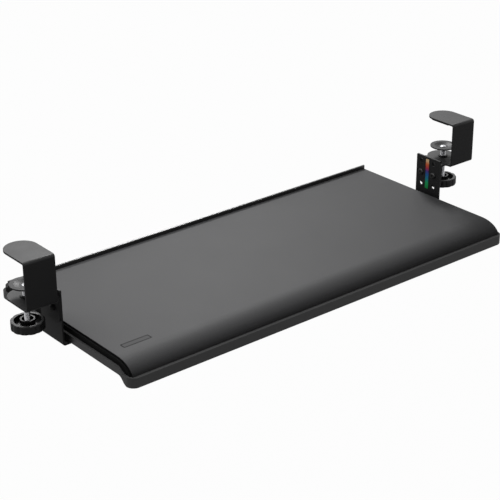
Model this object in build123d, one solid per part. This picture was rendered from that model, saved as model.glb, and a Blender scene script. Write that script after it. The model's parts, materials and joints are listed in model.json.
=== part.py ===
"""Clamp-on sliding keyboard tray that hangs under the front edge of a desk.

Millimetres. +X is to the right, +Y is to the rear (under the desk), +Z is up.
The origin is the middle of the tray's flat top, level with the clamps' screws.
Left pieces are mirror images of the right ones.
"""

from build123d import *
import math
import os

os.makedirs("parts", exist_ok=True)

# Tray skin: the textured top panel with its rolled-down front edge
skin_width = 660.0
skin_thickness = 3.0
skin_rear_y = 127.0
roll_start_y = -128.0
roll_depth = 34.0
roll_drop = 20.0
skin_edge_round = 0.8

# Rear stop: the low ridge behind the skin that keeps the keyboard from sliding off
stop_depth = 3.0
stop_height = 6.0
stop_round = 0.9

# Label plate: bare, let into the front left of the skin
label_length = 43.0
label_depth = 10.0
label_thickness = 0.4
label_corner = 1.2
label_fit_gap = 0.15
label_left_gap = 18.5
label_front_gap = 10.0

# Tray rim: the lower shell that runs round the tray and drops at the front
rim_side_reach = 5.5
rim_wall = 3.0
rim_rear_reach = 18.0
rim_front_reach = 4.0
rim_top_drop = 10.4
rim_height = 10.7
lip_top_drop = 16.7
lip_height = 14.6
rim_top_curve_start = 4.0
rim_top_curve_length = 18.0
rim_bottom_curve_start = 9.0
rim_bottom_curve_length = 19.0
rim_front_round = 12.0
rim_rear_round = 14.0
ledge_thickness = 2.5
side_ledge = 11.5
rear_ledge = 9.5
front_ledge = 14.0
rim_edge_round = 1.2

# Tray core: the black ribbed body between skin and rim
core_recess = 0.5
pocket_columns = 10
pocket_rows = 4
rib_thickness = 3.0
core_web = 2.5
rail_bed_margin = 3.0
pocket_edge_margin = 14.0
pocket_corner = 2.0

# Slide rails: ball-bearing pairs laid flat, one member on the drop plate and one on the tray
rail_inset = 25.0
rail_width = 27.0
rail_sheet = 1.2
rail_bend_share = 0.6
outer_rail_length = 174.0
inner_rail_width = 17.0
tray_in_travel = 110.0
tray_out_travel = 110.0
slide_gap = 0.3
strip_gap = 0.35
cage_sheet = 0.8
cage_base_sheet = 0.7
ball_radius = 1.6
ball_pitch = 10.0
balls_per_side = 5
ball_hole_gap = 0.05
rail_lip = 1.2
outer_lip_height = 1.2
inner_lip_height = 0.8
stop_bump_length = 1.2
stop_bump_width = 12.0
bumper_length = 7.5
bumper_height = 8.0
bumper_round = 1.5
bumper_front_gap = 4.2
rail_screw_radius = 1.6
rail_screw_head_radius = 3.4
rail_screw_head_height = 1.8
rail_screw_bite = 6.0
rail_screw_end_gap = 22.0

# Shell screws: hold the rim's ledge up against the core
shell_screw_radius = 1.3
shell_screw_head_radius = 2.8
shell_screw_head_height = 1.6
shell_screw_bite = 5.0
shell_screw_end_gap = 30.0
side_screw_count = 3
cross_screw_count = 5

# Drop plates: upright plates either side of the tray, with a foot that carries the rail
plate_gap = 5.9
plate_sheet = 2.5
plate_front_y = -26.5
plate_depth = 49.0
plate_top_z = 54.5
foot_gap = 1.2
foot_overhang = 1.5
sheet_bend = 1.5
plate_corner = 1.5
hole_radius = 3.3
hole_spacing_y = 25.4
hole_spacing_z = 19.0
hole_rows = 3
hole_front_y = -13.2
hole_top_drop = 8.0
bolted_row = 1
rivet_radius = 2.0
rivet_head_radius = 3.8
rivet_head_height = 1.3
rivet_spacing = 30.0
rivet_flush_gap = 0.1

# Height strip: a plain colour-coded scale between the two columns of holes
strip_width = 6.5
strip_length = 48.0
strip_thickness = 0.3
strip_top_gap = 3.5

# Clamps: bent steel brackets that grip the desk's front edge
clamp_sheet = 2.5
clamp_width = 45.0
clamp_inner_gap = 12.8
clamp_depth = 64.5
clamp_front_y = -38.7
clamp_top_z = 113.5
clamp_foot_z = 48.0
tab_rear_y = 19.5
tab_bottom_z = 8.0
tab_corner = 10.0
tab_throat = 5.0

# Jaw pads: rubber under the clamps' top flanges
jaw_pad_thickness = 2.2
jaw_pad_inset = 2.5
jaw_pad_front_gap = 14.0
jaw_pad_round = 0.5

# Bolts and nuts that hold the drop plates to the clamps
bolt_radius = 2.5
bolt_head_radius = 4.75
bolt_head_height = 2.4
bolt_dome_share = 0.75
bolt_socket_across = 3.0
bolt_socket_depth = 1.4
nut_across = 8.0
nut_height = 4.0
bolt_end_reach = 1.0

# Clamp screws, threaded bushes, pressure pads and hand knobs
screw_from_front = 40.0
thread_radius = 4.0
thread_pitch = 1.25
thread_depth = 0.6
thread_flat_share = 0.125
thread_running_gap = 0.05
bush_seat_radius = 6.0
bush_collar_radius = 7.5
bush_collar_height = 1.2
bush_hex_across = 14.0
bush_hex_height = 5.0
pad_top_z = 65.5
pad_radius = 20.0
pad_sheet = 1.8
pad_rim_width = 6.0
pad_dish = 2.0
pad_hub_radius = 7.0
neck_radius = 3.0
neck_gap = 0.1
rivet_dome_radius = 4.6
rivet_dome_height = 1.2
rivet_rim_height = 0.4
knob_bottom_z = 2.4
knob_height = 11.6
knob_radius = 22.3
knob_lobes = 12
scallop_radius = 7.0
scallop_depth = 0.7
lobe_round = 1.6
knob_edge_round = 1.0
knob_ring_wall = 3.7
knob_bowl_depth = 7.0
knob_hub_radius = 9.8
knob_hub_wall = 2.0
knob_hub_rise = 2.0
knob_hub_depth = 5.0
knob_spokes = 6
spoke_thickness = 2.2
spoke_height = 2.5
lock_nut_across = 13.0
lock_nut_height = 5.5
lock_nut_cover = 0.6
knob_bore_gap = 0.05

# One overrun serves every cut
overrun = 1.0

# Places worked out from the sizes above
skin_half = skin_width / 2
rail_centre_x = skin_half - rail_inset
rim_half = skin_half + rim_side_reach
rim_front_y = roll_start_y - roll_depth - rim_front_reach
rim_rear_y = skin_rear_y + rim_rear_reach
core_half = rim_half - rim_wall - core_recess
core_rear_y = rim_rear_y - rim_wall - core_recess
core_bottom_z = -rim_top_drop
rim_bottom_z = -rim_top_drop - rim_height
lip_bottom_z = -lip_top_drop - lip_height
foot_top_z = rim_bottom_z - foot_gap
foot_bottom_z = foot_top_z - plate_sheet
plate_inner_x = rim_half + plate_gap
plate_outer_x = plate_inner_x + plate_sheet
tab_outer_x = plate_outer_x + clamp_sheet
clamp_inner_x = plate_inner_x + clamp_inner_gap
clamp_centre_x = clamp_inner_x + clamp_width / 2
clamp_round = clamp_width / 2
clamp_round_y = clamp_front_y + clamp_depth - clamp_round
screw_y = clamp_front_y + screw_from_front
bend_outer = sheet_bend + clamp_sheet
opening_half = rim_half - side_ledge
opening_front_y = rim_front_y + front_ledge
opening_rear_y = rim_rear_y - rear_ledge
inner_rail_front_y = opening_front_y + bumper_front_gap + bumper_length
outer_rail_front_y = inner_rail_front_y + tray_in_travel + slide_gap
inner_rail_rear_y = opening_rear_y - slide_gap
cage_low_y = outer_rail_front_y + stop_bump_length + slide_gap
cage_high_y = inner_rail_rear_y - tray_out_travel - stop_bump_length - slide_gap
cage_length = cage_high_y - cage_low_y
cage_centre_y = (cage_low_y + cage_high_y + tray_out_travel) / 2
outer_rail_top_z = core_bottom_z - (slide_gap + ledge_thickness)
rail_base_top_z = foot_top_z + rail_sheet
cage_bottom_z = rail_base_top_z + strip_gap
inner_rail_bottom_z = cage_bottom_z + cage_base_sheet + strip_gap
outer_channel_half = rail_width / 2 - rail_sheet
inner_half = inner_rail_width / 2
ball_x = (outer_channel_half + inner_half) / 2
ball_z = inner_rail_bottom_z + inner_lip_height + slide_gap + ball_radius
cage_half = ball_x + cage_sheet / 2
cage_top_z = outer_rail_top_z - outer_lip_height - strip_gap
hole_ys = [hole_front_y, hole_front_y + hole_spacing_y]
hole_zs = [plate_top_z - hole_top_drop - hole_spacing_z * row for row in range(hole_rows)]
bolt_z = hole_zs[bolted_row]


def box_between(low, high):
    """A box from its lowest corner to its highest corner."""
    size = [b - a for a, b in zip(low, high)]
    middle = [(a + b) / 2 for a, b in zip(low, high)]
    return Pos(*middle) * Box(*size)


def along_x(face, low_x, high_x):
    """A profile drawn in Y and Z, carried from low_x to high_x."""
    return Pos(low_x, 0, 0) * extrude(Plane.YZ * face, amount=high_x - low_x)


def along_y(face, low_y, high_y):
    """A profile drawn in X and Z, carried from low_y to high_y."""
    return Pos(0, high_y, 0) * extrude(Plane.XZ * face, amount=high_y - low_y)


def along_z(face, low_z, high_z):
    """A plan drawn in X and Y, carried from low_z to high_z."""
    return Pos(0, 0, low_z) * extrude(face, amount=high_z - low_z)


def rod(radius, low, high):
    """A round bar between two points on one axis."""
    start, end = Vector(*low), Vector(*high)
    circle = Plane(origin=start, z_dir=end - start) * Circle(radius)
    return extrude(circle, amount=(end - start).length)


def ring_round_z(points, centre_x, centre_y):
    """A closed outline of (radius, height) points, turned about an upright axis."""
    face = make_face(Polyline(*points, close=True))
    return Pos(centre_x, centre_y, 0) * revolve(Plane.XZ * face, Axis.Z)


def hexagon_along_z(across, low_z, high_z):
    """A hexagonal bar with its flats that far apart."""
    return along_z(RegularPolygon(across / 2, 6, major_radius=False), low_z, high_z)


def bent_sheet(outer_points, inner_points, sheet):
    """The section of a bent sheet, from the lines of its outer and inner faces."""
    outer = FilletPolyline(*outer_points, radius=sheet_bend + sheet)
    inner = FilletPolyline(*inner_points, radius=sheet_bend)
    first = Line(outer @ 0, inner @ 0)
    last = Line(outer @ 1, inner @ 1)
    return make_face(outer.edges() + inner.edges() + [first, last])


def mirrored(shape):
    return mirror(shape, about=Plane.YZ)


def both_sides(solids):
    """The solids and their mirror images, as one compound."""
    return Compound(children=[*solids, *(mirrored(solid) for solid in solids)])


# Curves that the skin, core and rim share


def roll_arc(inset):
    """The rolled front edge in Y and Z, that far inside the skin's face."""
    depth, drop = roll_depth - inset, roll_drop - inset
    turn = 90 - math.degrees(math.asin((roll_drop - lip_top_drop) / drop))
    return EllipticalCenterArc((roll_start_y, -roll_drop), depth, drop, 90, arc_size=turn)


def easing(start_y, length, high_z, low_z):
    """An S-curve that drops from high_z to low_z as it runs forward."""
    middle_y = start_y - length / 2
    return Bezier(
        (start_y, high_z), (middle_y, high_z), (middle_y, low_z), (start_y - length, low_z)
    )


def rim_top_curve():
    return easing(
        roll_start_y - rim_top_curve_start, rim_top_curve_length, -rim_top_drop, -lip_top_drop
    )


def rim_bottom_curve():
    return easing(
        roll_start_y - rim_bottom_curve_start, rim_bottom_curve_length, rim_bottom_z, lip_bottom_z
    )


def band_between(upper, lower, rear_y, front_y):
    """The face in Y and Z between two S-curves, led straight to the rear and to the front."""
    top = [Line((rear_y, (upper @ 0).Y), upper @ 0), upper, Line(upper @ 1, (front_y, (upper @ 1).Y))]
    low = [Line((rear_y, (lower @ 0).Y), lower @ 0), lower, Line(lower @ 1, (front_y, (lower @ 1).Y))]
    rear = Line(top[0] @ 0, low[0] @ 0)
    front = Line(top[2] @ 1, low[2] @ 1)
    return make_face([*top, *low, rear, front])


def tray_plan(half_width, front_y, rear_y, front_round, rear_round):
    """The tray's outline from above, with rounded corners."""
    plan = Pos(0, (front_y + rear_y) / 2) * Rectangle(2 * half_width, rear_y - front_y)
    rows = plan.vertices().group_by(Axis.Y)
    plan = fillet(rows[0], front_round) if front_round else plan
    rows = plan.vertices().group_by(Axis.Y)
    return fillet(rows[-1], rear_round) if rear_round else plan


# Tray pieces


def tray_skin():
    outer, inner = roll_arc(0), roll_arc(skin_thickness)
    top = Line((skin_rear_y, 0), outer @ 0)
    under = Line((skin_rear_y, -skin_thickness), inner @ 0)
    rear = Line(top @ 0, under @ 0)
    end = Line(outer @ 1, inner @ 1)
    skin = along_x(make_face([top, outer, end, inner, under, rear]), -skin_half, skin_half)
    sides = skin.faces().group_by(Axis.X)
    outline = [e for side in (sides[0], sides[-1]) for e in side.edges()]
    level = [e for e in outline if e.bounding_box().max.Z > -skin_thickness / 2]
    shown = [e for e in level if e.bounding_box().size.Y > skin_thickness * 2]
    pocket = along_z(label_plan(label_fit_gap), -label_thickness, overrun)
    return fillet(shown, skin_edge_round) - pocket


def rear_stop():
    bar = box_between(
        (-skin_half, skin_rear_y, -skin_thickness), (skin_half, skin_rear_y + stop_depth, stop_height)
    )
    return fillet(bar.edges().filter_by(Axis.X).group_by(Axis.Z)[-1], stop_round)


def label_plan(margin):
    """The label plate's outline from above, that much larger all round."""
    centre_x = -skin_half + label_left_gap + label_length / 2
    centre_y = roll_start_y + label_front_gap + label_depth / 2
    return Pos(centre_x, centre_y) * RectangleRounded(
        label_length + 2 * margin, label_depth + 2 * margin, label_corner + margin
    )


def label_plate():
    return along_z(label_plan(0), -label_thickness, 0)


def rail_screw_ys():
    first, last = inner_rail_front_y + rail_screw_end_gap, inner_rail_rear_y - rail_screw_end_gap
    return [first, (first + last) / 2, last]


def shell_screw_places():
    """(x, y) of the screws that hold the rim: along both sides and across the rear and front."""
    side_x = (opening_half + rim_half - rim_wall) / 2
    first_y = roll_start_y + shell_screw_end_gap / 2
    last_y = rim_rear_y - shell_screw_end_gap
    side_step = (last_y - first_y) / (side_screw_count - 1)
    sides = [
        (side * side_x, first_y + side_step * i) for side in (-1, 1) for i in range(side_screw_count)
    ]
    first_x = rail_centre_x - rail_width / 2 - shell_screw_end_gap
    cross_step = 2 * first_x / (cross_screw_count - 1)
    rear_y = (opening_rear_y + rim_rear_y - rim_wall) / 2
    across = [(-first_x + cross_step * i, rear_y) for i in range(cross_screw_count)]
    return sides + across


def pockets():
    """The hollows between the core's ribs, open below and closed by its web above."""
    half = rail_centre_x - rail_width / 2 - rail_bed_margin
    front_y = roll_start_y + pocket_edge_margin
    rear_y = opening_rear_y - pocket_edge_margin / 2
    step_x, step_y = 2 * half / pocket_columns, (rear_y - front_y) / pocket_rows
    hole = RectangleRounded(step_x - rib_thickness, step_y - rib_thickness, pocket_corner)
    top_z = -skin_thickness - core_web
    one = along_z(hole, core_bottom_z - overrun, top_z)
    return [
        Pos(-half + step_x * (i + 1 / 2), front_y + step_y * (j + 1 / 2)) * one
        for i in range(pocket_columns)
        for j in range(pocket_rows)
    ]


def tray_core():
    inner, low = roll_arc(skin_thickness), rim_top_curve()
    top = Line((core_rear_y, -skin_thickness), inner @ 0)
    nose = Line(inner @ 1, low @ 1)
    under = Line((core_rear_y, -rim_top_drop), low @ 0)
    rear = Line(top @ 0, under @ 0)
    body = along_x(make_face([top, inner, nose, low, under, rear]), -core_half, core_half)
    plan = tray_plan(
        core_half, rim_front_y, core_rear_y, rim_front_round - rim_wall, rim_rear_round - rim_wall
    )
    body = body & along_z(plan, lip_bottom_z, 0)
    bay = box_between(
        (-opening_half, opening_front_y, lip_bottom_z), (opening_half, roll_start_y, core_bottom_z)
    )
    body = body - bay - pockets()
    drills = []
    for y in rail_screw_ys():
        for side in (-1, 1):
            x = side * rail_centre_x
            top_z = core_bottom_z + rail_screw_bite
            drills.append(rod(rail_screw_radius, (x, y, core_bottom_z - overrun), (x, y, top_z)))
    for x, y in shell_screw_places():
        top_z = core_bottom_z + shell_screw_bite
        drills.append(rod(shell_screw_radius, (x, y, core_bottom_z - overrun), (x, y, top_z)))
    return body - drills


def is_low_outline(edge):
    """Whether an edge of the rim's solid block is on the outline of its underside."""
    box = edge.bounding_box()
    if box.max.Z > rim_bottom_z + rim_wall / 2:
        return False
    crosses = box.size.X > rim_half
    at_end = box.min.Y < rim_front_y + rim_wall / 2 or box.max.Y > rim_rear_y - rim_wall / 2
    return at_end or not crosses


def tray_rim():
    outer = tray_plan(rim_half, rim_front_y, rim_rear_y, rim_front_round, rim_rear_round)
    inner = tray_plan(
        rim_half - rim_wall,
        rim_front_y + rim_wall,
        rim_rear_y - rim_wall,
        rim_front_round - rim_wall,
        rim_rear_round - rim_wall,
    )
    opening = tray_plan(opening_half, opening_front_y, opening_rear_y, 0, 0)
    upper, lower = rim_top_curve(), rim_bottom_curve()
    shelf = Pos(0, -ledge_thickness) * upper
    wall_band = band_between(upper, lower, rim_rear_y + overrun, rim_front_y - overrun)
    shelf_band = band_between(upper, shelf, rim_rear_y + overrun, rim_front_y - overrun)
    reach = rim_half + overrun
    block = along_z(outer, lip_bottom_z - overrun, 0) & along_x(wall_band, -reach, reach)
    block = fillet([e for e in block.edges() if is_low_outline(e)], rim_edge_round)
    walls = block - along_z(inner, lip_bottom_z - overrun, 0)
    ledge = along_z(outer - opening, lip_bottom_z - overrun, 0) & along_x(shelf_band, -reach, reach)
    rim = walls + ledge
    notch_low_x = rail_centre_x - rail_width / 2 - foot_overhang - overrun
    notch_high_x = rail_centre_x + rail_width / 2 + foot_overhang + overrun
    notch = box_between(
        (notch_low_x, rim_rear_y - rim_wall - overrun, rim_bottom_z - overrun),
        (notch_high_x, rim_rear_y + overrun, core_bottom_z - ledge_thickness),
    )
    rim = rim - notch - mirrored(notch)
    drills = [
        rod(
            shell_screw_radius,
            (x, y, core_bottom_z - ledge_thickness - overrun),
            (x, y, core_bottom_z + overrun),
        )
        for x, y in shell_screw_places()
    ]
    return rim - drills


def shell_screws():
    head_top_z = core_bottom_z - ledge_thickness
    solids = []
    for x, y in shell_screw_places():
        shank = rod(shell_screw_radius, (x, y, head_top_z), (x, y, core_bottom_z + shell_screw_bite))
        head = rod(
            shell_screw_head_radius, (x, y, head_top_z - shell_screw_head_height), (x, y, head_top_z)
        )
        solids.append(shank + head)
    return Compound(children=solids)


# Slide rails, ball cages and stops


def outer_rail():
    """The member that stays with the drop plate: a channel, open upwards, with curled lips."""
    x0, x1 = rail_centre_x - rail_width / 2, rail_centre_x + rail_width / 2
    y0, y1 = outer_rail_front_y, outer_rail_front_y + outer_rail_length
    rail = box_between((x0, y0, foot_top_z), (x1, y1, outer_rail_top_z))
    rail = rail - box_between(
        (x0 + rail_sheet, y0 - overrun, rail_base_top_z),
        (x1 - rail_sheet, y1 + overrun, outer_rail_top_z - outer_lip_height),
    )
    lip_gap = rail_sheet + rail_lip
    rail = rail - box_between(
        (x0 + lip_gap, y0 - overrun, rail_base_top_z), (x1 - lip_gap, y1 + overrun, overrun)
    )
    bump_high_z = cage_bottom_z + cage_base_sheet
    rail = rail + box_between(
        (rail_centre_x - stop_bump_width / 2, y0, rail_base_top_z),
        (rail_centre_x + stop_bump_width / 2, y0 + stop_bump_length, bump_high_z),
    )
    corners = rail.edges().filter_by(Axis.Y).group_by(Axis.Z)[0]
    rail = fillet(corners, rail_sheet * rail_bend_share)
    return rail - [rod(rivet_radius, (x, y, foot_bottom_z), (x, y, 0)) for x, y in rivet_places()]


def inner_rail():
    """The member that moves with the tray: a channel, open downwards, with feet under the balls."""
    x0, x1 = rail_centre_x - inner_half, rail_centre_x + inner_half
    y0, y1 = inner_rail_front_y, inner_rail_rear_y
    rail = box_between((x0, y0, inner_rail_bottom_z), (x1, y1, core_bottom_z))
    rail = rail + box_between(
        (x0 - rail_lip, y0, inner_rail_bottom_z),
        (x1 + rail_lip, y1, inner_rail_bottom_z + inner_lip_height),
    )
    rail = rail - box_between(
        (x0 + rail_sheet, y0 - overrun, inner_rail_bottom_z - overrun),
        (x1 - rail_sheet, y1 + overrun, core_bottom_z - rail_sheet),
    )
    bump_reach = ball_x - inner_half + cage_sheet
    for low_x, high_x in ((x0 - bump_reach, x0), (x1, x1 + bump_reach)):
        rail = rail + box_between(
            (low_x, y1 - stop_bump_length, inner_rail_bottom_z), (high_x, y1, cage_top_z)
        )
    return rail - [
        rod(rail_screw_radius, (rail_centre_x, y, foot_bottom_z), (rail_centre_x, y, 0))
        for y in rail_screw_ys()
    ]


def rail_screws():
    seat_z = core_bottom_z - rail_sheet
    solids = []
    for y in rail_screw_ys():
        x = rail_centre_x
        shank = rod(rail_screw_radius, (x, y, seat_z), (x, y, core_bottom_z + rail_screw_bite))
        head = rod(rail_screw_head_radius, (x, y, seat_z - rail_screw_head_height), (x, y, seat_z))
        low_edge = head.edges().group_by(Axis.Z)[0]
        solids.append(shank + fillet(low_edge, rail_screw_head_height / 2))
    return both_sides(solids)


def rivet_places():
    middle_y = plate_front_y + plate_depth / 2
    return [(rail_centre_x, middle_y + side * rivet_spacing / 2) for side in (-1, 1)]


def rail_rivets():
    solids = []
    for x, y in rivet_places():
        shank = rod(rivet_radius, (x, y, foot_bottom_z), (x, y, rail_base_top_z - rivet_flush_gap))
        head = rod(rivet_head_radius, (x, y, foot_bottom_z - rivet_head_height), (x, y, foot_bottom_z))
        low_edge = head.edges().group_by(Axis.Z)[0]
        solids.append(shank + fillet(low_edge, rivet_head_height / 2))
    return both_sides(solids)


def ball_places():
    first_y = cage_centre_y - ball_pitch * (balls_per_side - 1) / 2
    return [
        (rail_centre_x + side * ball_x, first_y + ball_pitch * i, ball_z)
        for side in (-1, 1)
        for i in range(balls_per_side)
    ]


def ball_cage():
    y0, y1 = cage_centre_y - cage_length / 2, cage_centre_y + cage_length / 2
    low = (rail_centre_x - cage_half, y0, cage_bottom_z)
    high = (rail_centre_x + cage_half, y1, cage_top_z)
    cage = box_between(low, high)
    cage = cage - box_between(
        (low[0] + cage_sheet, y0 - overrun, cage_bottom_z + cage_base_sheet),
        (high[0] - cage_sheet, y1 + overrun, cage_top_z + overrun),
    )
    hole = ball_radius + ball_hole_gap
    drills = [
        rod(hole, (x - cage_sheet - overrun, y, z), (x + cage_sheet + overrun, y, z))
        for x, y, z in ball_places()
    ]
    return cage - drills


def cage_balls():
    return Compound(children=[Pos(x, y, z) * Sphere(ball_radius) for x, y, z in ball_places()])


def rail_bumper():
    """Rubber block on the tray that meets the outer rail's front end when the tray is pushed in."""
    rear_y = inner_rail_front_y
    block = box_between(
        (rail_centre_x - rail_width / 2, rear_y - bumper_length, core_bottom_z - bumper_height),
        (rail_centre_x + rail_width / 2, rear_y, core_bottom_z),
    )
    return fillet(block.edges().filter_by(Axis.X).group_by(Axis.Z)[0], bumper_round)


# Drop plates and what is on them


def drop_plate():
    foot_x = rail_centre_x - rail_width / 2 - foot_overhang
    section = bent_sheet(
        [(plate_outer_x, plate_top_z), (plate_outer_x, foot_bottom_z), (foot_x, foot_bottom_z)],
        [(plate_inner_x, plate_top_z), (plate_inner_x, foot_top_z), (foot_x, foot_top_z)],
        plate_sheet,
    )
    plate = along_y(section, plate_front_y, plate_front_y + plate_depth)
    corners = plate.edges().filter_by(Axis.X).group_by(Axis.Z)[-1]
    plate = fillet(corners, plate_corner)
    low_x, high_x = plate_inner_x - overrun, plate_outer_x + overrun
    drills = [rod(hole_radius, (low_x, y, z), (high_x, y, z)) for y in hole_ys for z in hole_zs]
    for x, y in rivet_places():
        drills.append(
            rod(rivet_radius, (x, y, foot_bottom_z - overrun), (x, y, foot_top_z + overrun))
        )
    return plate - drills


def height_strip():
    middle_y = sum(hole_ys) / len(hole_ys)
    top_z = plate_top_z - strip_top_gap
    return box_between(
        (plate_inner_x - strip_thickness, middle_y - strip_width / 2, top_z - strip_length),
        (plate_inner_x, middle_y + strip_width / 2, top_z),
    )


def plate_bolts():
    """Button-head bolts from the tray's side, with a hexagon socket in each head."""
    solids = []
    for y in hole_ys:
        face_x = plate_inner_x - bolt_head_height
        shank_end_x = tab_outer_x + nut_height + bolt_end_reach
        shank = rod(bolt_radius, (plate_inner_x, y, bolt_z), (shank_end_x, y, bolt_z))
        head = rod(bolt_head_radius, (face_x, y, bolt_z), (plate_inner_x, y, bolt_z))
        head = fillet(head.edges().group_by(Axis.X)[0], bolt_head_height * bolt_dome_share)
        socket = Plane(origin=(face_x - overrun, y, bolt_z), z_dir=(1, 0, 0)) * RegularPolygon(
            bolt_socket_across / 2, 6, major_radius=False
        )
        solids.append(shank + head - extrude(socket, amount=bolt_socket_depth + overrun))
    return both_sides(solids)


def plate_nuts():
    solids = []
    for y in hole_ys:
        face = Plane(origin=(tab_outer_x, y, bolt_z), z_dir=(1, 0, 0)) * (
            RegularPolygon(nut_across / 2, 6, major_radius=False) - Circle(bolt_radius)
        )
        solids.append(extrude(face, amount=nut_height))
    return both_sides(solids)


# Clamps


def clamp_plan(inset, front_y):
    """A straight tongue with a half-round rear end, from above."""
    half = clamp_round - inset
    tongue = Pos(clamp_centre_x, (front_y + clamp_round_y) / 2) * Rectangle(
        2 * half, clamp_round_y - front_y
    )
    return tongue + Pos(clamp_centre_x, clamp_round_y) * Circle(half)


def clamp_bracket():
    tip_y = clamp_front_y + clamp_depth + overrun
    low_z = clamp_foot_z - clamp_sheet
    section = bent_sheet(
        [(tip_y, clamp_top_z), (clamp_front_y, clamp_top_z), (clamp_front_y, low_z), (tip_y, low_z)],
        [
            (tip_y, clamp_top_z - clamp_sheet),
            (clamp_front_y + clamp_sheet, clamp_top_z - clamp_sheet),
            (clamp_front_y + clamp_sheet, clamp_foot_z),
            (tip_y, clamp_foot_z),
        ],
        clamp_sheet,
    )
    body = along_x(section, clamp_inner_x, clamp_inner_x + clamp_width)
    body = body & along_z(clamp_plan(0, clamp_front_y), low_z - overrun, clamp_top_z + overrun)
    root_x = clamp_inner_x + bend_outer
    tab_section = bent_sheet(
        [(root_x, clamp_foot_z), (plate_outer_x, clamp_foot_z), (plate_outer_x, tab_bottom_z)],
        [(root_x, low_z), (tab_outer_x, low_z), (tab_outer_x, tab_bottom_z)],
        clamp_sheet,
    )
    tab = along_y(tab_section, plate_front_y, tab_rear_y)
    tab = fillet(tab.edges().filter_by(Axis.X).group_by(Axis.Z)[0], tab_corner)
    throat = Pos(clamp_inner_x, plate_front_y) * (
        Pos(-tab_throat / 2, -tab_throat / 2) * Rectangle(tab_throat, tab_throat)
        - Pos(-tab_throat, -tab_throat) * Circle(tab_throat)
    )
    bracket = body + tab + along_z(throat, low_z, clamp_foot_z)
    seat = rod(
        bush_seat_radius,
        (clamp_centre_x, screw_y, low_z - overrun),
        (clamp_centre_x, screw_y, clamp_foot_z + overrun),
    )
    low_x, high_x = plate_outer_x - overrun, tab_outer_x + overrun
    return bracket - [seat] - [rod(hole_radius, (low_x, y, bolt_z), (high_x, y, bolt_z)) for y in hole_ys]


def jaw_pad():
    top_z = clamp_top_z - clamp_sheet
    plan = clamp_plan(jaw_pad_inset, clamp_front_y + jaw_pad_front_gap)
    pad = along_z(plan, top_z - jaw_pad_thickness, top_z)
    return fillet(pad.edges().group_by(Axis.Z)[0], jaw_pad_round)


def thread_bush():
    low_z = clamp_foot_z - clamp_sheet
    hexagon = hexagon_along_z(bush_hex_across, low_z - bush_hex_height, low_z)
    seat = along_z(Circle(bush_seat_radius), low_z, clamp_foot_z)
    collar = along_z(Circle(bush_collar_radius), clamp_foot_z, clamp_foot_z + bush_collar_height)
    bore = along_z(
        Circle(thread_radius + thread_running_gap), low_z - bush_hex_height - overrun, clamp_top_z
    )
    return Pos(clamp_centre_x, screw_y, 0) * (hexagon + seat + collar - bore)


# What turns and lifts in each clamp


def pressure_pad():
    """A dished steel disc that hangs loosely on the screw's riveted end."""
    floor_z = pad_top_z - pad_dish
    bore = neck_radius + neck_gap
    inner_rim = pad_radius - pad_rim_width
    points = [
        (bore, floor_z - pad_sheet),
        (pad_hub_radius, floor_z - pad_sheet),
        (inner_rim, pad_top_z - pad_sheet),
        (pad_radius, pad_top_z - pad_sheet),
        (pad_radius, pad_top_z),
        (inner_rim, pad_top_z),
        (pad_hub_radius, floor_z),
        (bore, floor_z),
    ]
    return ring_round_z(points, clamp_centre_x, screw_y)


def clamp_screw():
    """A threaded rod with a thin neck and a domed rivet head at the top."""
    floor_z = pad_top_z - pad_dish
    shoulder_z = floor_z - pad_sheet - neck_gap
    low_z = knob_bottom_z + lock_nut_cover
    root = thread_radius - thread_depth
    flat = thread_pitch * thread_flat_share
    turns = int((shoulder_z - low_z) / thread_pitch)
    points = [(0, low_z), (root, low_z)]
    for i in range(turns):
        middle_z = low_z + thread_pitch * (i + 1 / 2)
        points.append((thread_radius, middle_z - flat))
        points.append((thread_radius, middle_z + flat))
        points.append((root, low_z + thread_pitch * (i + 1)))
    points += [
        (root, shoulder_z),
        (neck_radius, shoulder_z),
        (neck_radius, floor_z + neck_gap),
        (rivet_dome_radius, floor_z + neck_gap),
        (rivet_dome_radius, floor_z + neck_gap + rivet_rim_height),
        (neck_radius, floor_z + neck_gap + rivet_dome_height),
        (0, floor_z + neck_gap + rivet_dome_height),
    ]
    return ring_round_z(points, clamp_centre_x, screw_y)


def hand_knob():
    """A scalloped hand wheel with a bowl, low spokes and a round hub, and a pocket for its lock nut."""
    high_z = knob_bottom_z + knob_height
    scallops = [
        Rot(0, 0, 360 * i / knob_lobes)
        * Pos(knob_radius + scallop_radius - scallop_depth, 0)
        * Circle(scallop_radius)
        for i in range(knob_lobes)
    ]
    plan = Circle(knob_radius) - scallops
    plan = fillet(plan.vertices(), lobe_round)
    wheel = along_z(plan, knob_bottom_z, high_z)
    wheel = fillet(wheel.edges().group_by(Axis.Z)[0] + wheel.edges().group_by(Axis.Z)[-1], knob_edge_round)
    bowl_radius = knob_radius - scallop_depth - knob_ring_wall
    bowl_z, hub_z = high_z - knob_bowl_depth, high_z + knob_hub_rise
    wheel = wheel - along_z(Circle(bowl_radius), bowl_z, high_z + overrun)
    spoke = Pos(bowl_radius / 2, 0) * Rectangle(bowl_radius, spoke_thickness)
    spokes = [Rot(0, 0, 360 * i / knob_spokes) * spoke for i in range(knob_spokes)]
    wheel = wheel + along_z(Circle(bowl_radius) & spokes, bowl_z, bowl_z + spoke_height)
    wheel = wheel + along_z(Circle(knob_hub_radius), bowl_z, hub_z)
    wheel = wheel - along_z(
        Circle(knob_hub_radius - knob_hub_wall), hub_z - knob_hub_depth, hub_z + overrun
    )
    bore = along_z(Circle(thread_radius + knob_bore_gap), knob_bottom_z - overrun, hub_z + overrun)
    pocket = hexagon_along_z(
        lock_nut_across, knob_bottom_z - overrun, knob_bottom_z + lock_nut_cover + lock_nut_height
    )
    return Pos(clamp_centre_x, screw_y, 0) * (wheel - bore - pocket)


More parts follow.
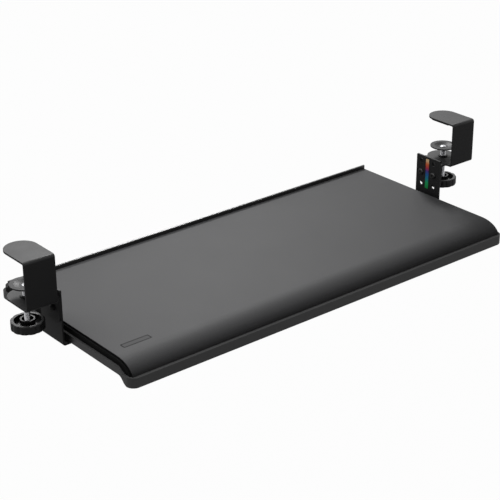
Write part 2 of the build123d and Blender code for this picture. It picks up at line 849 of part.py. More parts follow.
def lock_nut():
    low_z = knob_bottom_z + lock_nut_cover
    nut = hexagon_along_z(lock_nut_across, low_z, low_z + lock_nut_height)
    bore = along_z(Circle(thread_radius), low_z - overrun, low_z + lock_nut_height + overrun)
    return Pos(clamp_centre_x, screw_y, 0) * (nut - bore)


# Writing the pieces: one STEP for each sub-part

single_pieces = {
    "tray_skin": tray_skin,
    "tray_core": tray_core,
    "tray_rim": tray_rim,
    "rear_stop": rear_stop,
    "label_plate": label_plate,
    "shell_screws": shell_screws,
    "rail_screws": rail_screws,
    "rail_rivets": rail_rivets,
    "plate_bolts": plate_bolts,
    "plate_nuts": plate_nuts,
}
paired_pieces = {
    "inner_rail": inner_rail,
    "outer_rail": outer_rail,
    "ball_cage": ball_cage,
    "cage_balls": cage_balls,
    "rail_bumper": rail_bumper,
    "drop_plate": drop_plate,
    "height_strip": height_strip,
    "clamp_bracket": clamp_bracket,
    "jaw_pad": jaw_pad,
    "thread_bush": thread_bush,
    "pressure_pad": pressure_pad,
    "clamp_screw": clamp_screw,
    "hand_knob": hand_knob,
    "lock_nut": lock_nut,
}

for name, make in single_pieces.items():
    export_step(make(), f"parts/{name}.step")
for name, make in paired_pieces.items():
    right = make()
    export_step(right, f"parts/right_{name}.step")
    export_step(mirrored(right), f"parts/left_{name}.step")
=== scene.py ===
"""Clamp-on keyboard tray: its finishes, its threads and screw recesses, the light and the camera.

Everything is in metres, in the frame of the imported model: +X right, +Y to the rear, +Z up.
"""

import json
import math

import bmesh
import bpy
from mathutils import Euler, Matrix, Vector


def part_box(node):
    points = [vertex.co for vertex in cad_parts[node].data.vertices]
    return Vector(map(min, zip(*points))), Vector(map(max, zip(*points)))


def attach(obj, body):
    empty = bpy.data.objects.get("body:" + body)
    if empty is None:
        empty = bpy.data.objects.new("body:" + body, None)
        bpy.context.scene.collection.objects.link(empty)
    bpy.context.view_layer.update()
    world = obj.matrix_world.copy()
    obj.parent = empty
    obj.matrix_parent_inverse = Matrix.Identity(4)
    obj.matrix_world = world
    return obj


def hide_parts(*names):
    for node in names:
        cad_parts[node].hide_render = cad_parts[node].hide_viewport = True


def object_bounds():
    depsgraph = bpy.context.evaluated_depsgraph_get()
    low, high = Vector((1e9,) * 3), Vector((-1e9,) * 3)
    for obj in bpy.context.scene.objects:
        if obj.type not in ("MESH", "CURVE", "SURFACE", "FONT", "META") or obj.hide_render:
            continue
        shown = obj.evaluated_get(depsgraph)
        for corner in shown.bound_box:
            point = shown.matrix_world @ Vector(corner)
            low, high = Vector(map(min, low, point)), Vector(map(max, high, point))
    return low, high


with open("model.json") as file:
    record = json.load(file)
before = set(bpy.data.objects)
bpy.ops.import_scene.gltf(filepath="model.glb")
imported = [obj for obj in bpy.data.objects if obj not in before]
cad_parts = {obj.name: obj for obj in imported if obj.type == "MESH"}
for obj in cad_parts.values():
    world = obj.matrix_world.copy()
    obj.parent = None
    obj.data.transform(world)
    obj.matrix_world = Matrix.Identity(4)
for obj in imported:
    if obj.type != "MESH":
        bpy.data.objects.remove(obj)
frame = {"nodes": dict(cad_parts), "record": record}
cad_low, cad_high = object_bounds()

MM = 0.001
SIDES = ("left", "right")

# Clamp screw. groove_slope and groove_crest are shares of the thread's depth.
thread_radius = 4.0 * MM
thread_depth = 0.62 * MM
thread_pitch = 1.25 * MM
thread_runout = 1.6 * MM
groove_slope = 1.25
groove_crest = 0.12
rings_per_turn = 10
thread_segments = 32
shoulder_drop = 3.3 * MM
neck_radius = 3.0 * MM
dome_radius = 4.6 * MM
dome_height = 1.2 * MM
dome_turn = math.radians(81)
dome_rings = 5

# Cross-recess screws. A size is the head's radius, the shank's radius and the head's height.
shell_screw_size = (2.8 * MM, 1.3 * MM, 1.6 * MM)
rail_screw_size = (3.4 * MM, 1.6 * MM, 1.8 * MM)
head_segments = 32
head_round_share = 0.45
head_round_steps = 4
recess_width_share = 0.26
recess_reach_share = 0.62
recess_depth_share = 0.62
recess_bottom_share = 0.55
recess_turn_first = math.radians(17)
recess_turn_step = math.radians(41)
place_digits = 4  # decimals of a metre to which places are put in order

# Edges
sheet_edge = 0.35 * MM
small_edge = 0.15 * MM
edge_segments = 2
edge_angle = math.radians(32)
smooth_angle = math.radians(40)
weld_reach = 0.002 * MM

# Paler edges: wear, and on the hand knobs painted highlight
edge_mask_samples = 4
edge_mask_gain = 6.0
edge_patch_scale = 260.0
edge_patch_contrast = 3.0
edge_patch_cut = 1.1

# Painted shade on the skin's cut ends, lower shell, plating, and the label's painted shade line. Starts
# and ends are shares of the surface normal.
side_shade_colour = (0.006, 0.006, 0.006)
side_shade_start = 0.4
side_shade_end = 0.65
upward_start = 0.5
upward_end = 1.0
upward_dulling = 0.6
plating_dark_share = 0.78
label_shade_colour = (0.006, 0.006, 0.006)
label_shade_width = 1.6 * MM

# Height strip: share of its height and colour there
strip_bands = (
    (0.00, (0.014, 0.32, 0.07)),
    (0.20, (0.014, 0.44, 0.14)),
    (0.33, (0.016, 0.25, 0.36)),
    (0.48, (0.014, 0.13, 0.42)),
    (0.60, (0.10, 0.045, 0.28)),
    (0.70, (0.60, 0.045, 0.08)),
    (0.83, (0.85, 0.17, 0.045)),
    (0.95, (0.95, 0.66, 0.36)),
)

# Camera. The lens and the sensor are in millimetres, as Blender takes them.
camera_place = Vector((-1.1995, -1.4558, 0.8735))
camera_azimuth = math.radians(-39.19)
camera_elevation = math.radians(24.87)
camera_roll = math.radians(-0.42)
camera_lens = 105.35
camera_sensor = 36.0
camera_near = 0.05
camera_far = 20.0

# Floor and sky. The shares say how much of plain white the camera and reflections see on the floor.
sky_colour = (1.0, 1.0, 1.0)
floor_drop = 0.20
floor_reach = 6.0
floor_colour = (0.1, 0.1, 0.1)
floor_roughness = 0.9
floor_seen_share = 0.98
floor_reflected_share = 0.3
sky_level = 0.03

# Lamps: name, place, the point it faces, side of its square, power in watts
lamp_places = (
    ("rear_key", (-0.5, 0.2, 0.85), (-0.28, 0.0, 0.0), 0.7, 7.0),
    ("rear_sheen", (1.24, 1.72, 1.58), (0.0, 0.0, 0.0), 0.6, 43.5),
)

# Sockets of a Mix node that mixes colours
COLOUR_MIX_INPUTS = (6, 7)
COLOUR_MIX_OUTPUT = 2


# Shader node helpers


def fill(tree, socket, value):
    """Gives an input socket a number or a colour, or links it to another socket."""
    if isinstance(value, bpy.types.NodeSocket):
        tree.links.new(value, socket)
    elif isinstance(value, tuple):
        socket.default_value = (*value, 1.0)
    else:
        socket.default_value = value


def math_node(tree, operation, *values, clamp=False):
    """A Math node whose inputs are numbers or sockets. Returns its output socket."""
    node = tree.nodes.new("ShaderNodeMath")
    node.operation = operation
    node.use_clamp = clamp
    for socket, value in zip(node.inputs, values):
        fill(tree, socket, value)
    return node.outputs[0]


def share_between(tree, value, start, end):
    """How far a socket's value is on its way from start to end, from 0 to 1. Returns a socket."""
    gain = 1.0 / (end - start)
    return math_node(tree, "MULTIPLY_ADD", value, gain, -start * gain, clamp=True)


def colour_mix(tree, share, first, second):
    """A Mix node between two colours, plain or sockets. Returns its output socket."""
    mix = tree.nodes.new("ShaderNodeMix")
    mix.data_type = "RGBA"
    tree.links.new(share, mix.inputs["Factor"])
    for index, value in zip(COLOUR_MIX_INPUTS, (first, second)):
        fill(tree, mix.inputs[index], value)
    return mix.outputs[COLOUR_MIX_OUTPUT]


def shader_mix(tree, share, first, second):
    """A Mix Shader node between two shader sockets. Returns its output socket."""
    mix = tree.nodes.new("ShaderNodeMixShader")
    tree.links.new(share, mix.inputs["Fac"])
    tree.links.new(first, mix.inputs[1])
    tree.links.new(second, mix.inputs[2])
    return mix.outputs["Shader"]


def axes(tree, source):
    """The X, Y and Z sockets of the surface's place ("Object") or of its facing ("Normal")."""
    coordinate = tree.nodes.new("ShaderNodeTexCoord")
    parts = tree.nodes.new("ShaderNodeSeparateXYZ")
    tree.links.new(coordinate.outputs[source], parts.inputs["Vector"])
    return parts.outputs


def object_noise(tree, scale, detail=3.0, roughness=0.55, stretch=None):
    """Noise in the piece's own metres. scale is a number or a socket. Returns its Fac socket."""
    place = tree.nodes.new("ShaderNodeTexCoord").outputs["Object"]
    if stretch:
        mapping = tree.nodes.new("ShaderNodeMapping")
        mapping.inputs["Scale"].default_value = stretch
        tree.links.new(place, mapping.inputs["Vector"])
        place = mapping.outputs["Vector"]
    noise = tree.nodes.new("ShaderNodeTexNoise")
    noise.inputs["Detail"].default_value = detail
    noise.inputs["Roughness"].default_value = roughness
    tree.links.new(place, noise.inputs["Vector"])
    fill(tree, noise.inputs["Scale"], scale)
    return noise.outputs["Fac"]


# Effects that several materials share


def new_group(name, inputs, output):
    """A node group of float inputs and one float output. Returns it, its given values and its end."""
    group = bpy.data.node_groups.new(name, "ShaderNodeTree")
    for label, value in inputs.items():
        socket = group.interface.new_socket(label, in_out="INPUT", socket_type="NodeSocketFloat")
        socket.default_value = value
    group.interface.new_socket(output, in_out="OUTPUT", socket_type="NodeSocketFloat")
    given = group.nodes.new("NodeGroupInput").outputs
    end = group.nodes.new("NodeGroupOutput").inputs[output]
    return group, given, end


def place_group(tree, group, **values):
    """Puts a node group into a material and sets its inputs by name. Returns its output socket."""
    node = tree.nodes.new("ShaderNodeGroup")
    node.node_tree = group
    for label, value in values.items():
        node.inputs[label].default_value = value
    return node.outputs[0]


def smudge_group():
    """Roughness that drifts over a surface: handling marks and slight unevenness."""
    inputs = {"Level": 0.5, "Spread": 0.1, "Scale": 30.0}
    group, given, end = new_group("smudges", inputs, "Roughness")
    noise = object_noise(group, given["Scale"], detail=4.0)
    swing = math_node(group, "SUBTRACT", noise, 0.5)
    roughness = math_node(group, "MULTIPLY_ADD", swing, given["Spread"], given["Level"], clamp=True)
    group.links.new(roughness, end)
    return group


def grain_group():
    """Height of a moulded or powder-coated surface: rounded cells with finer noise between them."""
    inputs = {"Cells": 1500.0, "Fine": 4000.0, "Balance": 0.5}
    group, given, end = new_group("grain", inputs, "Height")
    cells = group.nodes.new("ShaderNodeTexVoronoi")
    cells.feature = "SMOOTH_F1"
    place = group.nodes.new("ShaderNodeTexCoord")
    group.links.new(place.outputs["Object"], cells.inputs["Vector"])
    group.links.new(given["Cells"], cells.inputs["Scale"])
    fine = object_noise(group, given["Fine"])
    coarse = math_node(group, "MULTIPLY", cells.outputs["Distance"], given["Balance"])
    rest = math_node(group, "SUBTRACT", 1.0, given["Balance"])
    group.links.new(math_node(group, "MULTIPLY_ADD", fine, rest, coarse), end)
    return group


def wear_and_highlight_group():
    """A mask of paler edges and corners, up to Amount, broken into patches by noise: wear, and on the
    hand knobs painted highlight.
    """
    group, given, end = new_group("edge_wear_and_highlight", {"Radius": 0.001, "Amount": 0.5}, "Mask")
    rounded = group.nodes.new("ShaderNodeBevel")
    rounded.samples = edge_mask_samples
    group.links.new(given["Radius"], rounded.inputs["Radius"])
    flat = group.nodes.new("ShaderNodeNewGeometry")
    dot = group.nodes.new("ShaderNodeVectorMath")
    dot.operation = "DOT_PRODUCT"
    group.links.new(rounded.outputs["Normal"], dot.inputs[0])
    group.links.new(flat.outputs["Normal"], dot.inputs[1])
    apart = math_node(group, "SUBTRACT", 1.0, dot.outputs["Value"])
    edge = math_node(group, "MULTIPLY", apart, edge_mask_gain, clamp=True)
    noise = object_noise(group, edge_patch_scale, detail=5.0)
    patches = math_node(group, "MULTIPLY_ADD", noise, edge_patch_contrast, -edge_patch_cut, clamp=True)
    broken = math_node(group, "MULTIPLY", edge, patches)
    group.links.new(math_node(group, "MULTIPLY", broken, given["Amount"], clamp=True), end)
    return group


SMUDGES = smudge_group()
GRAIN = grain_group()
EDGE_WEAR_AND_HIGHLIGHT = wear_and_highlight_group()


# Materials


def grey(level):
    """A neutral colour."""
    return (level, level, level)


def new_material(name, colour, metallic=0.0, specular=0.5):
    """A material with a Principled shader. Returns the material, its tree and the shader."""
    material = bpy.data.materials.new(name)
    material.use_nodes = True
    material.diffuse_color = (*colour, 1.0)
    tree = material.node_tree
    shader = tree.nodes["Principled BSDF"]
    shader.inputs["Base Color"].default_value = (*colour, 1.0)
    shader.inputs["Metallic"].default_value = metallic
    shader.inputs["Specular IOR Level"].default_value = specular
    return material, tree, shader


def mottled(tree, shader, dark, light, scale):
    """Base colour that drifts between two tones. Returns its socket."""
    tone = colour_mix(tree, object_noise(tree, scale, detail=4.0), dark, light)
    tree.links.new(tone, shader.inputs["Base Color"])
    return tone


def wear_and_highlight_edges(tree, shader, colour, wear_and_highlight_colour, radius, amount):
    """Base colour whose edges take a paler colour: wear, and on the hand knobs painted highlight."""
    mask = place_group(tree, EDGE_WEAR_AND_HIGHLIGHT, Radius=radius, Amount=amount)
    tree.links.new(colour_mix(tree, mask, colour, wear_and_highlight_colour), shader.inputs["Base Color"])


def uneven(tree, shader, level, spread, scale):
    """Roughness that drifts about a level. Returns its socket."""
    roughness = place_group(tree, SMUDGES, Level=level, Spread=spread, Scale=scale)
    tree.links.new(roughness, shader.inputs["Roughness"])
    return roughness


def raised(tree, shader, pattern, height):
    """Feeds a pattern to the shader as a bump that high, in metres."""
    bump = tree.nodes.new("ShaderNodeBump")
    bump.inputs["Distance"].default_value = height
    tree.links.new(pattern, bump.inputs["Height"])
    tree.links.new(bump.outputs["Normal"], shader.inputs["Normal"])


def grained(tree, shader, cells, fine, balance, height):
    """A moulded or coated grain, with so many cells and fine specks to a metre."""
    raised(tree, shader, place_group(tree, GRAIN, Cells=cells, Fine=fine, Balance=balance), height)


def textured_top():
    """The tray's textured grey skin, with painted shade on its two cut ends, which face sideways."""
    material, tree, shader = new_material("textured_top", (0.085, 0.085, 0.087), specular=0.05)
    tone = mottled(tree, shader, (0.068, 0.068, 0.07), (0.102, 0.102, 0.104), scale=900.0)
    sideways = math_node(tree, "ABSOLUTE", axes(tree, "Normal")["X"])
    # Painted shade: where the skin faces sideways, its colour goes to near black.
    painted_side_shade = share_between(tree, sideways, side_shade_start, side_shade_end)
    tree.links.new(colour_mix(tree, painted_side_shade, tone, side_shade_colour), shader.inputs["Base Color"])
    uneven(tree, shader, level=0.52, spread=0.05, scale=14.0)
    grained(tree, shader, cells=900.0, fine=2600.0, balance=0.6, height=0.16 * MM)
    return material


def fine_black(name, colour, wear_and_highlight_colour, level, specular, cells, dulling=0.0):
    """Black with a fine grain and slightly paler edges, duller by so much where it faces up. The paler
    edges are wear, and on the hand knobs painted highlight.
    """
    material, tree, shader = new_material(name, colour, specular=specular)
    # Paler edges: wear, and on the hand knobs painted highlight.
    wear_and_highlight_edges(tree, shader, colour, wear_and_highlight_colour, radius=0.5 * MM, amount=0.35)
    roughness = uneven(tree, shader, level, spread=0.12, scale=22.0)
    if dulling:
        upward = share_between(tree, axes(tree, "Normal")["Z"], upward_start, upward_end)
        dulled = math_node(tree, "MULTIPLY_ADD", upward, dulling, roughness, clamp=True)
        tree.links.new(dulled, shader.inputs["Roughness"])
    grained(tree, shader, cells, fine=3.0 * cells, balance=0.5, height=0.05 * MM)
    return material


def tray_body():
    """The matt body between the skin and the lower shell."""
    return fine_black("core_plastic", grey(0.005), grey(0.018), level=0.55, specular=0.06, cells=1300.0)


def lower_shell():
    """The satin lower shell, duller where it faces up under the skin's front edge."""
    colour = (0.007, 0.007, 0.0074)
    wear_and_highlight_colour = (0.04, 0.04, 0.042)
    return fine_black(
        "rim_plastic", colour, wear_and_highlight_colour, level=0.38, specular=0.95, cells=1100.0, dulling=upward_dulling
    )


def rear_ridge():
    """The glossier ridge behind the skin."""
    return fine_black("stop_plastic", grey(0.004), grey(0.05), level=0.24, specular=0.9, cells=1300.0)


def black_bolts():
    """The blackened bolts and nuts of the drop plates, and the screws of the lower shell."""
    return fine_black("black_screws", grey(0.02), grey(0.12), level=0.35, specular=0.5, cells=2600.0)


def pad_paint():
    """The painted steel of the pressure pads."""
    colour = (0.016, 0.016, 0.017)
    return fine_black("pad_steel", colour, grey(0.1), level=0.46, specular=0.2, cells=1500.0)


def hand_knobs():
    """The satin plastic of the hand knobs, whose paler edges are partly wear and partly painted
    highlight.
    """
    # Painted highlight: the knobs' paler edge colour stands partly for light caught on their edges.
    return fine_black("knob_plastic", grey(0.006), grey(0.05), level=0.4, specular=0.34, cells=1600.0)


def powder_coat():
    """The powder-coated steel of the clamps, their bushes and the drop plates."""
    colour = (0.007, 0.007, 0.0074)
    material, tree, shader = new_material("black_steel", colour, specular=0.3)
    wear_and_highlight_edges(tree, shader, colour, (0.07, 0.07, 0.073), radius=0.5 * MM, amount=0.4)
    uneven(tree, shader, level=0.54, spread=0.12, scale=35.0)
    grained(tree, shader, cells=1100.0, fine=3200.0, balance=0.35, height=0.05 * MM)
    return material


def plated_steel(name, colour, level, stretch, relief):
    """Zinc-plated steel with fine marks, drawn out along the axis where stretch is small."""
    material, tree, shader = new_material(name, colour, metallic=1.0)
    dark = tuple(plating_dark_share * channel for channel in colour)
    mottled(tree, shader, dark, colour, scale=160.0)
    uneven(tree, shader, level, spread=0.16, scale=60.0)
    marks = object_noise(tree, scale=700.0, roughness=0.6, stretch=stretch)
    raised(tree, shader, marks, relief)
    return material


def drawn_rails():
    """The slides' rails, drawn from front to back, with their rivets and screws."""
    colour = (0.56, 0.57, 0.59)
    return plated_steel("rail_steel", colour, level=0.34, stretch=(6.0, 0.25, 6.0), relief=0.012 * MM)


def stamped_cages():
    """The ball cages between the rails."""
    return plated_steel("cage_steel", grey(0.48), level=0.38, stretch=(6.0, 0.4, 6.0), relief=0.012 * MM)


def plated_screws():
    """The clamp screws and their lock nuts."""
    colour = (0.62, 0.62, 0.64)
    return plated_steel("zinc_steel", colour, level=0.26, stretch=(2.0, 2.0, 2.0), relief=0.006 * MM)


def polished_balls():
    """The balls of the slides."""
    material, tree, shader = new_material("ball_steel", (0.78, 0.78, 0.80), metallic=1.0)
    uneven(tree, shader, level=0.10, spread=0.04, scale=500.0)
    return material


def framed_label():
    """The blank label: a smooth plate with a dark line of painted shade along its edge."""
    colour = (0.07, 0.07, 0.072)
    material, tree, shader = new_material("label_plastic", colour, specular=0.05)
    low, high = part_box("label_plate")
    place = axes(tree, "Object")
    insets = []
    for axis, label in enumerate("XY"):
        middle = (low[axis] + high[axis]) / 2
        half = (high[axis] - low[axis]) / 2
        reach = math_node(tree, "ABSOLUTE", math_node(tree, "SUBTRACT", place[label], middle))
        insets.append(math_node(tree, "SUBTRACT", half, reach))
    # Painted shade: a dark line along the label's edge.
    line = math_node(tree, "LESS_THAN", math_node(tree, "MINIMUM", *insets), label_shade_width)
    tree.links.new(colour_mix(tree, line, colour, label_shade_colour), shader.inputs["Base Color"])
    uneven(tree, shader, level=0.56, spread=0.06, scale=60.0)
    grained(tree, shader, cells=2200.0, fine=6600.0, balance=0.5, height=0.03 * MM)
    return material


def soft_rubber():
    """The rubber of the clamps' faces and the rails' bumpers."""
    material, tree, shader = new_material("rubber", grey(0.016), specular=0.25)
    mottled(tree, shader, grey(0.013), (0.022, 0.021, 0.021), scale=120.0)
    uneven(tree, shader, level=0.78, spread=0.1, scale=40.0)
    grained(tree, shader, cells=2000.0, fine=5000.0, balance=0.4, height=0.05 * MM)
    return material


def printed_strip():
    """The height strips: printed bands of colour that run into each other."""
    material, tree, shader = new_material("strip_print", strip_bands[0][1], specular=0.4)
    low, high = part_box("right_height_strip")
    height = share_between(tree, axes(tree, "Object")["Z"], low[2], high[2])
    ramp = tree.nodes.new("ShaderNodeValToRGB")
    stops = ramp.color_ramp.elements
    bands = [*strip_bands, (1.0, strip_bands[-1][1])]
    while len(stops) < len(bands):
        stops.new(1.0)
    for stop, (share, colour) in zip(stops, bands):
        stop.position = share
        stop.color = (*colour, 1.0)
    tree.links.new(height, ramp.inputs["Fac"])
    tree.links.new(ramp.outputs["Color"], shader.inputs["Base Color"])
    uneven(tree, shader, level=0.4, spread=0.08, scale=60.0)
    return material


MATERIALS = {
    "textured_top": textured_top(),
    "core_plastic": tray_body(),
    "rim_plastic": lower_shell(),
    "stop_plastic": rear_ridge(),
    "label_plastic": framed_label(),
    "black_screws": black_bolts(),
    "black_steel": powder_coat(),
    "rail_steel": drawn_rails(),
    "cage_steel": stamped_cages(),
    "ball_steel": polished_balls(),
    "zinc_steel": plated_screws(),
    "pad_steel": pad_paint(),
    "knob_plastic": hand_knobs(),
    "rubber": soft_rubber(),
    "strip_print": printed_strip(),
}


def dress_nodes():
    """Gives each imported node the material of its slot."""
    for entry in frame["record"]["subparts"]:
        mesh = frame["nodes"][entry["node"]].data
        mesh.materials.clear()
        mesh.materials.append(MATERIALS[entry["material_slot"]])


# Softened edges


def soften(node, width):
    """A small round on a node's sharp edges, as a modifier."""
    piece = frame["nodes"][node]
    weld = piece.modifiers.new("weld", "WELD")
    weld.merge_threshold = weld_reach
    bevel = piece.modifiers.new("soft_edge", "BEVEL")
    bevel.width = width
    bevel.segments = edge_segments
    bevel.limit_method = "ANGLE"
    bevel.angle_limit = edge_angle
    bevel.harden_normals = True
    bevel.use_clamp_overlap = True


def soften_nodes():
    """Rounds the edges of the bent sheet, the bushes, the nuts and the slides."""
    for side in SIDES:
        for name in ("clamp_bracket", "drop_plate"):
            soften(f"{side}_{name}", sheet_edge)
        for name in ("thread_bush", "lock_nut", "outer_rail", "inner_rail", "ball_cage"):
            soften(f"{side}_{name}", small_edge)
    soften("plate_nuts", small_edge)


# Pieces made here


def mesh_piece(name, mesh, slot, body, node):
    """A finished mesh as a piece of the object, standing for that node."""
    piece = bpy.data.objects.new(name, mesh)
    bpy.context.collection.objects.link(piece)
    mesh.materials.append(MATERIALS[slot])
    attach(piece, body)
    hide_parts(node)


def finished_mesh(form, name):
    """Turns a bmesh into a mesh, smooth but for its sharp edges."""
    for face in form.faces:
        face.smooth = True
    for edge in form.edges:
        edge.smooth = len(edge.link_faces) == 2 and edge.calc_face_angle(0.0) < smooth_angle
    mesh = bpy.data.meshes.new(name)
    form.to_mesh(mesh)
    form.free()
    return mesh


def turned(heights, radius_at, segments, centre):
    """A closed round form: a ring at each height, where radius_at(ring, angle) gives its radius."""
    form = bmesh.new()
    rings = []
    for index, z in enumerate(heights):
        ring = []
        for k in range(segments):
            angle = 2 * math.pi * k / segments
            radius = radius_at(index, angle)
            place = (centre.x + radius * math.cos(angle), centre.y + radius * math.sin(angle), z)
            ring.append(form.verts.new(place))
        rings.append(ring)
    for lower, upper in zip(rings, rings[1:]):
        for k in range(segments):
            after = (k + 1) % segments
            form.faces.new((lower[k], lower[after], upper[after], upper[k]))
    form.faces.new(list(reversed(rings[0])))
    form.faces.new(rings[-1])
    return form


def clamp_screw(side):
    """The clamp's screw with a real helical thread, a neck and a riveted dome."""
    low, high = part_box(f"{side}_clamp_screw")
    centre = Vector(((low[0] + high[0]) / 2, (low[1] + high[1]) / 2))
    tip_z = low[2]
    shoulder_z = high[2] - shoulder_drop
    neck_z = high[2] - dome_height
    steps = round((shoulder_z - tip_z) / thread_pitch * rings_per_turn)
    threaded = [tip_z + (shoulder_z - tip_z) * i / steps for i in range(steps + 1)]
    plain = [(shoulder_z, neck_radius), (neck_z, neck_radius), (neck_z, dome_radius)]
    for i in range(dome_rings):
        turn = dome_turn * (i + 1) / dome_rings
        rise = dome_height * math.sin(turn) / math.sin(dome_turn)
        plain.append((neck_z + rise, dome_radius * math.cos(turn)))

    def radius_at(index, angle):
        if index >= len(threaded):
            return plain[index - len(threaded)][1]
        z = threaded[index]
        turns = (z - tip_z) / thread_pitch - angle / (2 * math.pi)
        from_crest = abs(2 * (turns % 1.0) - 1)
        groove = min(max(groove_slope * from_crest - groove_crest, 0.0), 1.0)
        runout = 1 - min(z - tip_z, shoulder_z - z, thread_runout) / thread_runout
        return thread_radius - thread_depth * max(groove, runout)

    heights = threaded + [z for z, _ in plain]
    form = turned(heights, radius_at, thread_segments, centre)
    name = f"{side}_threaded_screw"
    mesh_piece(name, finished_mesh(form, name), "zinc_steel", f"{side}_screw", f"{side}_clamp_screw")


def separate_places(node):
    """The place of each solid's axis in a node of upright screws, from left to right."""
    form = bmesh.new()
    form.from_mesh(frame["nodes"][node].data)
    bmesh.ops.remove_doubles(form, verts=form.verts, dist=weld_reach)
    unseen = set(form.verts)
    places = []
    while unseen:
        queue = [unseen.pop()]
        island = []
        while queue:
            vert = queue.pop()
            island.append(vert.co.copy())
            for edge in vert.link_edges:
                other = edge.other_vert(vert)
                if other in unseen:
                    unseen.remove(other)
                    queue.append(other)
        xs = [point.x for point in island]
        ys = [point.y for point in island]
        places.append(Vector(((min(xs) + max(xs)) / 2, (min(ys) + max(ys)) / 2)))
    form.free()
    places.sort(key=lambda place: (round(place.x, place_digits), round(place.y, place_digits)))
    return places


def recess_arm(half_x, half_y, start_z, bottom_z):
    """One arm of a cross recess, as a block that narrows towards the recess's bottom."""
    form = bmesh.new()
    corners = []
    for z, share in ((start_z, 1.0), (bottom_z, recess_bottom_share)):
        for x, y in ((-half_x, -half_y), (half_x, -half_y), (half_x, half_y), (-half_x, half_y)):
            corners.append(form.verts.new((share * x, share * y, z)))
    sides = [(0, 1, 5, 4), (1, 2, 6, 5), (2, 3, 7, 6), (3, 0, 4, 7), (3, 2, 1, 0), (4, 5, 6, 7)]
    for side in sides:
        form.faces.new([corners[i] for i in side])
    mesh = bpy.data.meshes.new("recess_arm")
    form.to_mesh(mesh)
    form.free()
    return bpy.data.objects.new("recess_arm", mesh)


def cut(solid, cutters):
    """The solid mesh less the cutters, through Boolean modifiers that are then applied."""
    holder = bpy.data.objects.new("blank", solid)
    bpy.context.collection.objects.link(holder)
    for cutter in cutters:
        bpy.context.collection.objects.link(cutter)
        boolean = holder.modifiers.new("cut", "BOOLEAN")
        boolean.operation = "DIFFERENCE"
        boolean.solver = "EXACT"
        boolean.object = cutter
    graph = bpy.context.evaluated_depsgraph_get()
    result = bpy.data.meshes.new_from_object(holder.evaluated_get(graph))
    for spare in (holder, *cutters):
        mesh = spare.data
        bpy.data.objects.remove(spare)
        bpy.data.meshes.remove(mesh)
    return result


def cross_screw_mesh(size, head_z, tip_z):
    """An upright screw, head down, with a rounded rim and a cross recess. Centred on the axis."""
    head_radius, shank_radius, head_height = size
    seat_z = head_z + head_height
    rim_round = head_height * head_round_share
    outline = []
    for i in range(head_round_steps + 1):
        turn = math.pi / 2 * i / head_round_steps
        rise = rim_round * (1 - math.cos(turn))
        inset = rim_round * (1 - math.sin(turn))
        outline.append((head_z + rise, head_radius - inset))
    outline += [(seat_z, head_radius), (seat_z, shank_radius), (tip_z, shank_radius)]
    heights = [z for z, _ in outline]
    form = turned(heights, lambda index, angle: outline[index][1], head_segments, Vector((0.0, 0.0)))
    blank = finished_mesh(form, "screw_blank")
    start_z = head_z - head_height
    bottom_z = head_z + head_height * recess_depth_share
    reach = recess_reach_share * head_radius
    half_width = recess_width_share / 2 * head_radius
    along_x = recess_arm(reach, half_width, start_z, bottom_z)
    along_y = recess_arm(half_width, reach, start_z, bottom_z)
    return cut(blank, (along_x, along_y))


def cross_screws(node, name, slot, body, size):
    """All screws of a node, as one piece with cross recesses in their heads."""
    low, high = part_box(node)
    one = cross_screw_mesh(size, low[2], high[2])
    form = bmesh.new()
    for i, place in enumerate(separate_places(node)):
        start = len(form.verts)
        form.from_mesh(one)
        form.verts.ensure_lookup_table()
        turn = Matrix.Rotation(recess_turn_first + recess_turn_step * i, 4, "Z")
        for vert in form.verts[start:]:
            vert.co = turn @ vert.co + Vector((place.x, place.y, 0.0))
    bpy.data.meshes.remove(one)
    mesh_piece(name, finished_mesh(form, name), slot, body, node)


# Floor, light and camera


def background_share(tree, seen_share=1.0, reflected_share=1.0):
    """How plain white a ray sees a surface: one share for the camera, one for reflections and glass."""
    path = tree.nodes.new("ShaderNodeLightPath").outputs
    bounced = math_node(tree, "MAXIMUM", path["Is Glossy Ray"], path["Is Transmission Ray"])
    bounced = math_node(tree, "MULTIPLY", bounced, reflected_share)
    direct = math_node(tree, "MULTIPLY", path["Is Camera Ray"], seen_share)
    return math_node(tree, "MAXIMUM", direct, bounced)


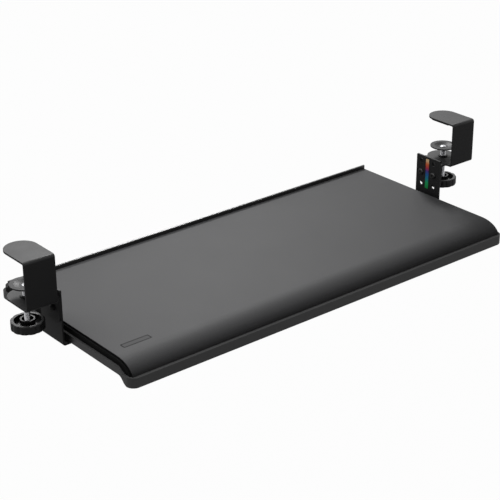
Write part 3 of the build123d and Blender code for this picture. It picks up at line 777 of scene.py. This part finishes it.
def pale_floor():
    """A floor below the part that looks white, takes its shadow, and is clear from below."""
    floor_z = cad_low[2] - floor_drop
    corners = []
    for x, y in ((-1, -1), (1, -1), (1, 1), (-1, 1)):
        corners.append((floor_reach * x, floor_reach * y, floor_z))
    mesh = bpy.data.meshes.new("floor")
    mesh.from_pydata(corners, [], [(0, 1, 2, 3)])
    material, tree, shader = new_material("pale_floor", floor_colour, specular=0.0)
    shader.inputs["Roughness"].default_value = floor_roughness
    glow = tree.nodes.new("ShaderNodeEmission")
    share = background_share(tree, floor_seen_share, floor_reflected_share)
    above = shader_mix(tree, share, shader.outputs["BSDF"], glow.outputs["Emission"])
    clear = tree.nodes.new("ShaderNodeBsdfTransparent")
    underside = tree.nodes.new("ShaderNodeNewGeometry").outputs["Backfacing"]
    surface = shader_mix(tree, underside, above, clear.outputs["BSDF"])
    tree.links.new(surface, tree.nodes["Material Output"].inputs["Surface"])
    mesh.materials.append(material)
    floor = bpy.data.objects.new("floor", mesh)
    bpy.context.collection.objects.link(floor)


def soft_sky():
    """A sky that looks white and lights the part dimly."""
    world = bpy.data.worlds.new("studio")
    world.use_nodes = True
    tree = world.node_tree
    tree.nodes.clear()
    skies = []
    for strength in (sky_level, 1.0):
        sky = tree.nodes.new("ShaderNodeBackground")
        fill(tree, sky.inputs["Color"], sky_colour)
        fill(tree, sky.inputs["Strength"], strength)
        skies.append(sky.outputs["Background"])
    out = tree.nodes.new("ShaderNodeOutputWorld")
    tree.links.new(shader_mix(tree, background_share(tree), *skies), out.inputs["Surface"])
    bpy.context.scene.world = world


def soft_lamps():
    """Square lamps: one above the left side, and one high behind on the right."""
    for name, place, target, size, power in lamp_places:
        lamp = bpy.data.lights.new(name, "AREA")
        lamp.size = size
        lamp.energy = power
        holder = bpy.data.objects.new(name, lamp)
        holder.location = place
        aim = Vector(target) - Vector(place)
        holder.rotation_euler = aim.to_track_quat("-Z", "Y").to_euler()
        bpy.context.collection.objects.link(holder)


def photo_camera():
    """The camera at the photograph's place, direction and focal length."""
    lens = bpy.data.cameras.new("camera")
    lens.sensor_width = camera_sensor
    lens.lens = camera_lens
    lens.clip_start = camera_near
    lens.clip_end = camera_far
    holder = bpy.data.objects.new("camera", lens)
    turn = Euler((math.pi / 2 - camera_elevation, 0.0, camera_azimuth)).to_matrix()
    turn = turn @ Matrix.Rotation(camera_roll, 3, "Z")
    holder.rotation_euler = turn.to_euler()
    holder.location = camera_place
    bpy.context.collection.objects.link(holder)
    bpy.context.scene.camera = holder


# The whole scene

bpy.context.scene.view_settings.view_transform = "Standard"
dress_nodes()
soften_nodes()
for side in SIDES:
    clamp_screw(side)
cross_screws("shell_screws", "shell_cross_screws", "black_screws", "tray", shell_screw_size)
cross_screws("rail_screws", "rail_cross_screws", "rail_steel", "tray", rail_screw_size)
pale_floor()
soft_sky()
soft_lamps()
photo_camera()
